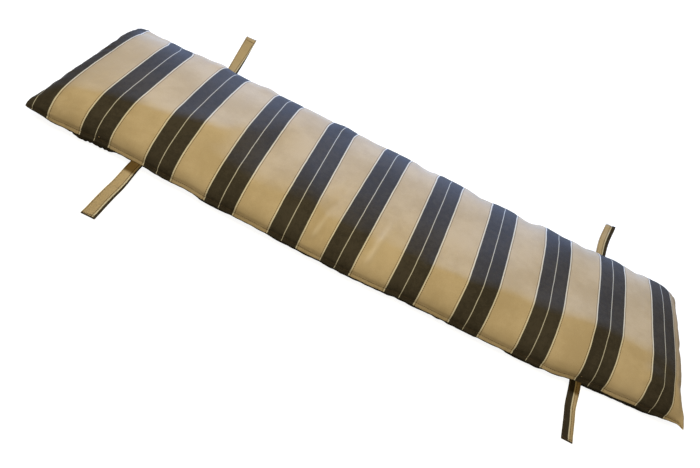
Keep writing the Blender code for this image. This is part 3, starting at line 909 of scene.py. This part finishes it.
def build_tie(name, tie):
    """A closed strap that follows its CAD solid, with its own stripe map, and its stitch lines."""
    side = -1.0 if "near" in name else 1.0
    hem_start = 1.0 - HEM_LENGTH / tie["reach"]
    steps = round(tie["reach"] / TIE_STEP)
    mesh = bmesh.new()
    uv_layer = mesh.loops.layers.uv.new("cloth")
    rings, run = [], 0.0
    last = None
    edges = {-1: ([], []), 1: ([], [])}
    ends = []
    tucked = TUCKED_IN / tie["reach"]
    for k in range(steps + 1):
        share = (1.0 + tucked) * k / steps - tucked
        centre = tie_centre(tie, side, share)
        ahead = tie_centre(tie, side, min(share + 0.02, 1.0))
        behind = tie_centre(tie, side, share - 0.02)
        along = (ahead - behind).normalized()
        across = Vector((along.y, -along.x, 0.0)).normalized() * side
        normal = across.cross(along).normalized()
        normal = normal if normal.z > 0 else -normal
        run += (centre - last).length if last else 0.0
        last = centre
        turned = float(ease((share - hem_start + 0.006) / 0.012))
        thick = TIE_THICKNESS + (HEM_THICKNESS - TIE_THICKNESS) * turned
        past_round = max((share - 1.0) * tie["reach"] / END_ROUND + 1.0, 0.0)
        end_round = math.sqrt(max(1.0 - past_round ** 2, 0.0))
        rounded = EDGE_SHARE + (1.0 - EDGE_SHARE) * end_round
        thick *= rounded
        lift = (TIE_THICKNESS * rounded - thick) / -2
        wide = 1.0 + (tie["widens"] - 1.0) * float(ease(share * 2.0))
        half = [(a * wide, u) for a, u in tie_section(thick)]
        outline = half + [(a, -u) for a, u in half[-2:0:-1]]
        ring = []
        for a, u in outline:
            ahead_by = tie["slant"] * a / TIE_WIDTH * float(ease(share * 2.0 - 1.0))
            point = centre + across * a + normal * (u + lift) + along * ahead_by
            ring.append((mesh.verts.new(point), a, run, u))
        rings.append(ring)
        sewn_up = normal * (thick * 0.42 + lift)
        for hand, (line, out) in edges.items():
            line.append(centre + across * (hand * STITCHED_IN * TIE_WIDTH * wide) + sewn_up)
            out.append(normal)
    for back, askew in ((tie["hem"], 0.0012), (tie["hem"] - 0.0010, 0.0012), (END_STITCHED, 0.0)):
        at = steps * (1.0 - back / (tie["reach"] + TUCKED_IN))
        first, second = (edges[hand][0] for hand in (-1, 1))
        low = min(int(at), steps - 1)
        part = at - low
        left_end = first[low].lerp(first[low + 1], part) + along * askew
        right_end = second[low].lerp(second[low + 1], part) - along * askew
        ends.append(([left_end.lerp(right_end, k / 4) for k in range(5)], [normal] * 5, False))
    lines = [(line, out, False) for line, out in edges.values()] + ends

    def paint(face, corners):
        # Painted shade: the near ties' free end takes the dark stripe's colour
        shaded_end = side < 0 and corners[-1][2] > run - 1e-6
        for loop, (_, a, length, u) in zip(face.loops, corners):
            place = tie["stripe"] + tie["drift"] * length / tie["reach"] + TIE_WIDTH / 2 + a
            place = END_SHADE_PLACE if shaded_end else place
            loop[uv_layer].uv = (place, length + (0.4 if u < 0 else 0.0))

    size = len(rings[0])
    for first, second in zip(rings, rings[1:]):
        for k in range(size):
            n = (k + 1) % size
            corners = (first[k], first[n], second[n], second[k])
            paint(mesh.faces.new([c[0] for c in corners]), corners)
    for ring in (rings[0], rings[-1]):
        middle = sum((c[0].co for c in ring), Vector()) / size
        hub = (mesh.verts.new(middle), 0.0, ring[0][2], 0.0)
        for k in range(size):
            corners = (ring[k], ring[(k + 1) % size], hub)
            paint(mesh.faces.new([c[0] for c in corners]), corners)
    bmesh.ops.recalc_face_normals(mesh, faces=mesh.faces)
    data = bpy.data.meshes.new(name + "_strap")
    mesh.to_mesh(data)
    mesh.free()
    data.shade_smooth()
    data.set_sharp_from_angle(angle=math.radians(60))
    strap = bpy.data.objects.new(name + "_strap", data)
    bpy.context.scene.collection.objects.link(strap)
    return strap, run, lines


# Painted shade at each tie's sewn end: 33 mm on the near ties, 9 mm on the far ones
tie_cloth = {-1: woven_cloth("tie_weave", 0.62, root=0.033),
             1: woven_cloth("far_tie_weave", 0.62, root=0.009)}
for tie_name, tie_sizes in TIES.items():
    strap, strap_length, strap_lines = build_tie(tie_name, tie_sizes)
    strap.data.materials.append(tie_cloth[-1 if "near" in tie_name else 1])
    # Painted light: the far ties' cloth is painted paler by this value, in place of the far side's light
    painted_paler = strap.data.attributes.new("painted_highlight", "FLOAT", "POINT")
    painted_paler.data.foreach_set("value", [tie_sizes["painted_paler"]] * len(strap.data.vertices))
    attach(strap, "root")
    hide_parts(tie_name)
    strap_stitches = stitching.sew(
        tie_name + "_stitches", strap_lines,
        {"Spacing": 0.0034, "Length": 0.0027, "Radius": 0.00030, "Arch": 0.0006,
         "Unevenness": 0.1, "Seed": 6, "Thread": brown_thread},
    )
    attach(strap_stitches, "root")

# Floor
# A plain pale ground just under the base, in place of the photograph's blank background. It throws
# no light up at the sides and isn't part of the cushion.

FLOOR_SIZE = 40.0
FLOOR_LEVEL = -0.0005
floor_mesh = bpy.data.meshes.new("floor")
half = FLOOR_SIZE / 2
floor_mesh.from_pydata(
    [(x, y, FLOOR_LEVEL) for x, y in ((-half, -half), (half, -half), (half, half), (-half, half))],
    [], [(0, 1, 2, 3)]
)
floor = bpy.data.objects.new("floor", floor_mesh)
bpy.context.scene.collection.objects.link(floor)
floor_paint = bpy.data.materials.new("floor_white")
floor_paint.use_nodes = True
floor_shader = floor_paint.node_tree.nodes["Principled BSDF"]
floor_shader.inputs["Base Color"].default_value = (0.30, 0.30, 0.30, 1.0)
floor_shader.inputs["Roughness"].default_value = 0.9
floor_shader.inputs["Specular IOR Level"].default_value = 0.0
floor_shader.inputs["Emission Color"].default_value = (1.0, 1.0, 1.0, 1.0)
floor_shader.inputs["Emission Strength"].default_value = 0.90
floor_mesh.materials.append(floor_paint)
floor.visible_diffuse = False
floor.visible_glossy = False

# Light
# A broad warm light from above, a cool window low behind the far side, and a dim warm room that
# is dark from below.

world = bpy.data.worlds.new("room")
world.use_nodes = True
room = Yarn(world.node_tree)
look = room.make("ShaderNodeTexCoord", out=0)
height = Yarn(world.node_tree, room.make("ShaderNodeSeparateXYZ", None, {0: look}).socket.node.outputs[2])
room_colour = height.step(-0.25, 0.45).blend((0.06, 0.045, 0.03, 1.0), (1.0, 0.93, 0.82, 1.0))
background = world.node_tree.nodes["Background"]
world.node_tree.links.new(room_colour.socket, background.inputs["Color"])
background.inputs["Strength"].default_value = 0.35
bpy.context.scene.world = world

LIGHTS = (
    {"name": "warm_above", "place": (-0.3, -0.5, 2.0), "aim": (0.0, -0.05, 0.0),
     "size": (2.4, 1.2), "watts": 37.0, "colour": (1.0, 0.91, 0.60)},
    {"name": "near_fill", "place": (0.0, -3.0, 1.2), "aim": (0.0, 0.0, 0.05),
     "size": (3.0, 0.8), "watts": 15.0, "colour": (1.0, 0.77, 0.30)},
    {"name": "cool_window", "place": (-0.5, 4.9, 1.16), "aim": (0.0, 0.0, 0.1),
     "size": (5.2, 0.35), "watts": 835.0, "colour": (0.31, 0.50, 1.0)},
)
for row in LIGHTS:
    lamp = bpy.data.lights.new(row["name"], "AREA")
    lamp.shape = "RECTANGLE"
    lamp.size, lamp.size_y = row["size"]
    lamp.energy = row["watts"]
    lamp.color = row["colour"]
    holder = bpy.data.objects.new(row["name"], lamp)
    place = Vector(row["place"])
    aim = (Vector(row["aim"]) - place).to_track_quat("-Z", "Y")
    holder.matrix_world = Matrix.Translation(place) @ aim.to_matrix().to_4x4()
    bpy.context.scene.collection.objects.link(holder)

# Camera
# It looks down at the near side from about a metre above the ground, and is rolled, so that the
# cushion runs from the upper left to the lower right of the picture.

EYE = (-0.0550, -1.2584, 0.9909)
LOOK_DOWN = 0.70273        # radians below level
PAN_RIGHT = 0.01087
ROLL = 0.46610
FOCAL_MM = 36.0
camera_data = bpy.data.cameras.new("camera")
camera_data.lens = FOCAL_MM
camera_data.sensor_width = 36.0
camera = bpy.data.objects.new("camera", camera_data)
turn = (Matrix.Rotation(-PAN_RIGHT, 4, "Z") @ Matrix.Rotation(math.pi / 2 - LOOK_DOWN, 4, "X")
        @ Matrix.Rotation(ROLL, 4, "Z"))
camera.matrix_world = Matrix.Translation(EYE) @ turn
bpy.context.scene.collection.objects.link(camera)
bpy.context.scene.camera = camera
bpy.context.scene.view_settings.view_transform = "Standard"
